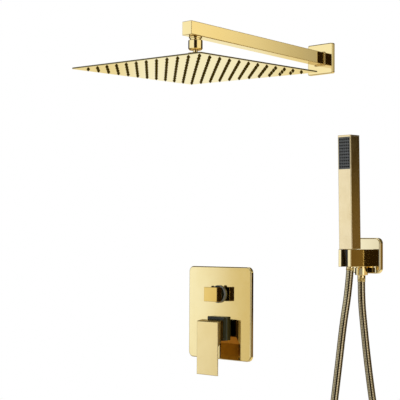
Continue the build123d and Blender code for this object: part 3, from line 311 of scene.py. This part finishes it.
# satin lip where the arm goes into its flange
gold_flange = finish_or_painted_light(metal("gold_flange", GOLD, GOLD_DEEP, 0.025, 0.03),
                           lambda t: t.step(axis_of(t, "Object", 1), -0.0082, -0.0086), None, None, 0.50)
# satin upper side on the head
gold_top = finish_or_painted_light(metal("gold_head_top", GOLD, GOLD_DEEP, 0.05, 0.05),
                        lambda t: t.step(axis_of(t, "Normal", 2), 0.93, 0.985), None, None, 0.34)
# painted shade: the rim of the head is darker than its faces
for mat in (gold_face, gold_top):
    finish_or_painted_light(mat, lambda t: t.step(t.math("ABSOLUTE", axis_of(t, "Normal", 2)), 0.70, 0.45), (0.22, 0.18, 0.075), (0.19, 0.155, 0.062), 0.16)
# painted shade: the hose's gold is a darkened copy of the plating
gold_hose = metal("gold_hose", (0.535, 0.442, 0.236), (0.46, 0.372, 0.19), 0.045, 0.04, haze=30.0)
# painted shade: near-black on the back of the hose nut, which faces the wall
gold_nut = finish_or_painted_light(metal("gold_nut", GOLD, GOLD_DEEP, 0.05, 0.05),
                        lambda t: t.step(axis_of(t, "Normal", 1), 0.15, 0.35), (0.050, 0.034, 0.012), (0.040, 0.026, 0.009), 0.36)
# painted shade: a dark material for the hose's groove faces
painted_groove_shade = metal("painted_groove_shade", (0.10, 0.078, 0.038), (0.07, 0.052, 0.024), 0.32, 0.12, haze=60.0, bump=0.05)
# painted highlight: a lighter grey band on the end of the sleeve next to the plate
sleeve_grey = finish_or_painted_light(plain("sleeve_grey", (0.056, 0.062, 0.036), (0.072, 0.079, 0.048), 0.20, 160.0, 0.03, 0.0002, 0.08),
                           lambda t: t.step(axis_of(t, "Object", 1), -0.0126, -0.0106), (0.140, 0.160, 0.140), (0.122, 0.140, 0.122), 0.2)
# painted highlight: a light grey ring around the collar's outer rim
collar_grey = finish_or_painted_light(plain("collar_grey", (0.037, 0.041, 0.023), (0.047, 0.052, 0.031), 0.20, 160.0, 0.03, 0.0002, 0.08),
                           lambda t: t.step(t.math("ADD", t.math("POWER", axis_of(t, "Object", 0), 2.0),
                                                   t.math("POWER", t.math("SUBTRACT", axis_of(t, "Object", 2), 0.0395), 2.0)), 0.0174 ** 2, 0.0179 ** 2),
                           (0.300, 0.330, 0.340), (0.260, 0.285, 0.295), 0.2)
for mat in (sleeve_grey, collar_grey):
    open_tree(mat)[1].inputs["Specular IOR Level"].default_value = 0.22
brass = metal("brass_cast", (0.62, 0.46, 0.19), (0.50, 0.36, 0.14), 0.28, 0.20, haze=24.0, grain_scale=260.0, bump=0.10)
copper = metal("copper_drawn", (0.72, 0.36, 0.20), (0.55, 0.25, 0.14), 0.22, 0.18, haze=18.0, bump=0.04)
steel = metal("steel_plain", (0.55, 0.55, 0.54), (0.44, 0.44, 0.43), 0.22, 0.15, haze=40.0, bump=0.05)
screw_dark = metal("screw_dark", (0.16, 0.125, 0.055), (0.11, 0.085, 0.035), 0.20, 0.15, haze=60.0, bump=0.05)
acetal = plain("acetal_white", (0.72, 0.72, 0.69), (0.66, 0.66, 0.62), 0.42, 120.0, 0.06, 0.0003)
# painted shade: the cone nut seen in the holder block's slot is near-black, standing for the slot's shade
painted_slot_shade = plain("cone_nut_painted_slot_shade", (0.012, 0.012, 0.010), (0.020, 0.019, 0.016), 0.34, 220.0, 0.06, 0.0002)
rubber = plain("rubber_black", (0.022, 0.022, 0.022), (0.035, 0.034, 0.032), 0.55, 240.0, 0.12, 0.0003)
foam = plain("foam_gasket", (0.06, 0.06, 0.06), (0.10, 0.10, 0.098), 0.85, 420.0, 0.5, 0.0005)
silicone = plain("silicone_olive", (0.082, 0.058, 0.0020), (0.110, 0.079, 0.0035), 0.50, 300.0, 0.05, 0.0002)
open_tree(silicone)[1].inputs["Specular IOR Level"].default_value = 0.05
silicone_black = plain("silicone_black", (0.002, 0.002, 0.002), (0.004, 0.004, 0.004), 0.42, 300.0, 0.05, 0.0002)
open_tree(silicone_black)[1].inputs["Specular IOR Level"].default_value = 0.03
panel = plain("panel_grey", (0.150, 0.165, 0.160), (0.172, 0.187, 0.182), 0.34, 200.0, 0.05, 0.0002)

LOOK = {
    "mixer_cover_plate": gold_plate, "plate_gasket": foam, "cartridge_sleeve": sleeve_grey, "valve_body": brass,
    "cartridge_body": acetal, "cartridge_nut": brass, "cartridge_carrier": acetal, "carrier_pin": steel,
    "lever_spindle": steel, "lever_handle": gold_lever, "lever_set_screw": steel, "diverter_cartridge": brass,
    "diverter_collar": collar_grey, "diverter_spindle": brass, "diverter_knob": gold_knob, "diverter_set_screw": screw_dark,
    "arm_tube": gold_arm, "arm_end_cap": gold_arm, "arm_inlet_nipple": brass, "arm_outlet_nipple": gold,
    "arm_wall_flange": gold_flange, "flange_gasket": foam, "arm_wall_elbow": brass, "riser_pipe": copper,
    "handset_pipe": copper, "pipe_nuts": brass, "ball_joint_nut": gold, "ball_seal": rubber, "slip_ring": acetal,
    "swivel_ball": gold, "head_union_nut": gold, "head_inlet_boss": gold, "stem_o_ring": rubber,
    "head_top_plate": gold_top, "head_face_plate": gold_face, "nozzle_mat": silicone, "outlet_wall_elbow": brass,
    "bracket_plate": gold_bracket, "bracket_gasket": foam, "bracket_body": gold_block, "bracket_inlet_nipple": brass,
    "outlet_nipple": gold, "outlet_washer": rubber, "hose_outlet_nut": gold_nut, "hose_tube": gold_hose,
    "hose_cone_nut": painted_slot_shade, "handset_washer": rubber, "handset_inlet": brass, "flow_restrictor": acetal,
    "handset_body": gold_satin, "handset_end_cap": gold_satin, "handset_spray_plate": panel, "handset_nozzle_mat": silicone_black,
}
for name, obj in nodes.items():
    obj.data.materials.clear()
    obj.data.materials.append(LOOK[name])
# what is in the wall, and the handset, don't show in the polished plates
for name in ("valve_body", "riser_pipe", "handset_pipe", "pipe_nuts", "arm_wall_elbow", "outlet_wall_elbow",
             "arm_inlet_nipple", "bracket_inlet_nipple", "plate_gasket", "flange_gasket", "bracket_gasket",
             "handset_body", "handset_end_cap", "handset_spray_plate", "handset_nozzle_mat", "handset_inlet"):
    nodes[name].visible_glossy = False


# ---------------------------------------------------------------- mesh helpers
def piece(name, bm, mat, body, stands_for=(), smooth=35.0):
    bmesh.ops.recalc_face_normals(bm, faces=bm.faces)
    me = bpy.data.meshes.new(name)
    bm.to_mesh(me)
    bm.free()
    me.materials.append(mat)
    if smooth:
        me.shade_smooth()
        me.set_sharp_from_angle(angle=math.radians(smooth))
    ob = bpy.data.objects.new(name, me)
    scene.collection.objects.link(ob)
    if body:
        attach(ob, body)
    if stands_for:
        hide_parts(*stands_for)
    return ob


# ---------------------------------------------------------------- hose
ROUTE = [
    (368.4, -58.25, 103.6), (366.8, -61.5, 60.0), (361.2, -70.0, 0.0), (356.0, -77.8, -80.0),
    (348.4, -88.0, -180.0), (332.0, -101.0, -285.0), (312.0, -115.0, -385.0), (333.6, -97.8, -437.1),
    (376.9, -63.3, -457.6), (419.8, -29.1, -436.1), (440.7, -12.5, -383.5), (415.5, -12.2, -285.0),
    (393.0, -13.0, -180.0), (379.0, -15.4, -85.0), (371.6, -19.2, -5.0), (367.9, -21.6, 45.0),
    (368.4, -22.0, 87.6),
]
HOSE_R = 0.007


def spline_points(route, per_span):
    cu_ = bpy.data.curves.new("route", "CURVE")
    cu_.dimensions = "3D"
    sp = cu_.splines.new("NURBS")
    sp.points.add(len(route) - 1)
    for p, q in zip(sp.points, route):
        p.co = (q[0] / 1000, q[1] / 1000, q[2] / 1000, 1.0)
    sp.order_u = 3
    sp.use_endpoint_u = True
    sp.resolution_u = per_span
    ob = bpy.data.objects.new("route", cu_)
    scene.collection.objects.link(ob)
    bpy.context.view_layer.update()
    me = bpy.data.meshes.new_from_object(ob)
    pts = [v.co.copy() for v in me.vertices]
    bpy.data.objects.remove(ob)
    bpy.data.meshes.remove(me)
    bpy.data.curves.remove(cu_)
    return pts


line = spline_points(ROUTE, 24)


def evenly(points, step):
    """Points at even spacing along a polyline."""
    total = sum((b - a).length for a, b in zip(points, points[1:]))
    count = max(2, round(total / step))
    gap, made, left = total / count, [points[0].copy()], 0.0
    for a, b in zip(points, points[1:]):
        run = (b - a).length
        pos = gap - left
        while pos <= run + 1e-9 and len(made) < count:
            made.append(a.lerp(b, pos / run))
            pos += gap
        left = (left + run) % gap if pos > run else left
        left = run - (pos - gap)
    made.append(points[-1].copy())
    return made, total


def carried_frames(points):
    """A frame at each point that turns as little as possible along the line."""
    frames, side = [], None
    for i, p in enumerate(points):
        t = (points[min(i + 1, len(points) - 1)] - points[max(i - 1, 0)]).normalized()
        if side is None:
            side = t.orthogonal().normalized()
        side = (side - t * side.dot(t)).normalized()
        frames.append((t, side, t.cross(side)))
    return frames


PITCH, AROUND, PER_PITCH = 0.0030, 28, 10
hose_pts, hose_len = evenly(line, PITCH / PER_PITCH)
hose_frames = carried_frames(hose_pts)


def rib(phase):
    """Radius share of the interlocked strip over one pitch: a low crown and a narrow groove."""
    p = phase % 1.0
    d = min(p, 1 - p) * 2
    return 1.0 - 0.008 * (1 - d) ** 2 - (0.07 if d < 0.1 else 0.0)


bm = bmesh.new()
rings = []
for i, (p, (t, a, b)) in enumerate(zip(hose_pts, hose_frames)):
    s = i * hose_len / (len(hose_pts) - 1)
    ring = []
    for k in range(AROUND):
        ang = 2 * math.pi * k / AROUND
        r = HOSE_R * rib(s / PITCH + k / AROUND)
        ring.append(bm.verts.new(p + (a * math.cos(ang) + b * math.sin(ang)) * r))
    rings.append(ring)
for i0, (r0, r1) in enumerate(zip(rings, rings[1:])):
    for k in range(AROUND):
        f = bm.faces.new((r0[k], r0[(k + 1) % AROUND], r1[(k + 1) % AROUND], r1[k]))
        # groove faces get the painted-shade material
        low = [rib(i / PER_PITCH + j / AROUND) for i, j in ((i0, k), (i0, k + 1), (i0 + 1, k), (i0 + 1, k + 1))]
        f.material_index = int(min(low) < 0.95)
bm.faces.new(rings[0][::-1])
bm.faces.new(rings[-1])
hose = piece("hose", bm, gold_hose, None, ("hose_tube",), smooth=28)
hose.data.materials.append(painted_groove_shade)


def ferrule(name, index, step, body, long):
    """Crimped sleeve over the last few millimetres of the hose."""
    shape = [(0.0, 0.0060), (0.0, 0.0072), (0.0003, 0.0075), (long - 0.0030, 0.0075), (long - 0.0027, 0.00725), (long - 0.0018, 0.00725),
             (long - 0.0015, 0.0075), (long - 0.0003, 0.0075), (long, 0.0072), (long, 0.0060)]
    gap = hose_len / (len(hose_pts) - 1)
    bm = bmesh.new()
    loops = []
    for along, r in shape:
        i = index + step * round(along / gap)
        pnt, (t, a, b) = hose_pts[i], hose_frames[i]
        loops.append([bm.verts.new(pnt + (a * math.cos(2 * math.pi * k / 40) + b * math.sin(2 * math.pi * k / 40)) * r) for k in range(40)])
    for l0, l1 in zip(loops, loops[1:] + loops[:1]):
        for k in range(40):
            bm.faces.new((l0[k], l0[(k + 1) % 40], l1[(k + 1) % 40], l1[k]))
    ob = piece(name, bm, gold, body, (), smooth=40)
    return ob


ferrules = [ferrule("hose_ferrule_top", 0, 1, "hose_end", 0.0063), ferrule("hose_ferrule_outlet", len(hose_pts) - 1, -1, "wall_set", 0.0120)]
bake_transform(hose)


# ---------------------------------------------------------------- nozzles
def nozzle_field(name, spots, profile, around, body, mat, stands_for):
    """Turned silicone nozzles: each spot gives the face point, the way out of the face and a side way, profile in mm."""
    bm = bmesh.new()
    for centre, out_way, side in spots:
        third = out_way.cross(side)
        loops = []
        for r, h in profile:
            loops.append([bm.verts.new(centre + out_way * (h / 1000) + (side * math.cos(2 * math.pi * k / around)
                                                                        + third * math.sin(2 * math.pi * k / around)) * (r / 1000)) for k in range(around)])
        for l0, l1 in zip(loops, loops[1:]):
            for k in range(around):
                bm.faces.new((l0[k], l0[(k + 1) % around], l1[(k + 1) % around], l1[k]))
        bm.faces.new(loops[-1])
        bm.faces.new(loops[0][::-1])
    ob = piece(name, bm, mat, body, stands_for, smooth=50)
    return ob


PIVOT = Vector((0.261, -0.366, 0.4845))
HEAD = Matrix.Translation(PIVOT) @ Matrix.Rotation(math.radians(1.67), 4, Vector((0.6765, 0.7364, 0.0)).normalized()) @ Matrix.Translation(-PIVOT)
CONE = [(3.05, -0.05), (2.99, 0.24), (2.66, 0.70), (2.12, 1.40), (1.60, 2.24), (1.16, 3.00), (0.84, 3.36), (0.56, 3.40), (0.50, 2.60), (0.34, 2.40)]
nozzle_field("rain_nozzles", [(HEAD @ Vector((0.261 + (i - 5.5) * 0.0236, -0.366 + (j - 5.5) * 0.0236, 0.4425)), HEAD.to_3x3() @ Vector((0, 0, -1)),
                               HEAD.to_3x3() @ Vector((1, 0, 0))) for i in range(12) for j in range(12)], CONE, 16, "rain_head", silicone, ("nozzle_mat",))

LEAN = math.radians(1.3)
HAND = Matrix.Translation((0.3684, -0.059, 0.1365)) @ Matrix.Rotation(LEAN, 4, "X") @ Matrix.Translation((-0.3684, 0.059, -0.1365))
NIPPLE = [(1.52, -0.05), (1.50, 0.18), (1.38, 0.40), (1.14, 0.52), (1.00, 0.64), (0.92, 0.98), (0.76, 1.06), (0.52, 1.04), (0.46, 0.60), (0.30, 0.45)]
nozzles = nozzle_field("handset_nozzles", [(HAND @ Vector((0.3684 + (c - 2) * 0.0047, -0.07325, 0.3137 + (r - 4.5) * 0.0056)), HAND.to_3x3() @ Vector((0, -1, 0)),
                                            HAND.to_3x3() @ Vector((1, 0, 0))) for c in range(5) for r in range(10)], NIPPLE, 18, "handset", silicone_black,
                       ("handset_nozzle_mat",))
nozzles.visible_glossy = False


# ---------------------------------------------------------------- stage
def stage_sheet(name, corners, colour, rough, camera_only):
    bm = bmesh.new()
    bm.faces.new([bm.verts.new(c) for c in corners])
    me = bpy.data.meshes.new(name)
    bm.to_mesh(me)
    bm.free()
    ob = bpy.data.objects.new(name, me)
    scene.collection.objects.link(ob)
    mat = bpy.data.materials.new(name)
    mat.use_nodes = True
    t = Tree(mat.node_tree)
    geo = t.node("ShaderNodeNewGeometry")
    clear = t.node("ShaderNodeBsdfTransparent")
    if camera_only:
        face = t.node("ShaderNodeEmission")
        face.inputs[0].default_value = (*colour, 1)
    else:
        face = t.node("ShaderNodeBsdfDiffuse")
        face.inputs[0].default_value = (*colour, 1)
        face.inputs[1].default_value = rough
    mx = t.node("ShaderNodeMixShader")
    t.t.links.new(geo.outputs["Backfacing"], mx.inputs[0])
    t.t.links.new(face.outputs[0], mx.inputs[1])
    t.t.links.new(clear.outputs[0], mx.inputs[2])
    o = t.node("ShaderNodeOutputMaterial")
    t.t.links.new(mx.outputs[0], o.inputs[0])
    me.materials.append(mat)
    ob.visible_glossy = False
    ob.visible_shadow = False
    if camera_only:
        ob.visible_diffuse = False
    return ob


FLOOR = -1.10
stage_sheet("stage_wall", [(-4, 0.0006, FLOOR), (4, 0.0006, FLOOR), (4, 0.0006, 3), (-4, 0.0006, 3)], (1, 1, 1), 0, True)
stage_sheet("stage_floor", [(-4, -4, FLOOR), (4, -4, FLOOR), (4, 0.0006, FLOOR), (-4, 0.0006, FLOOR)], (0.86, 0.86, 0.845), 0, True)
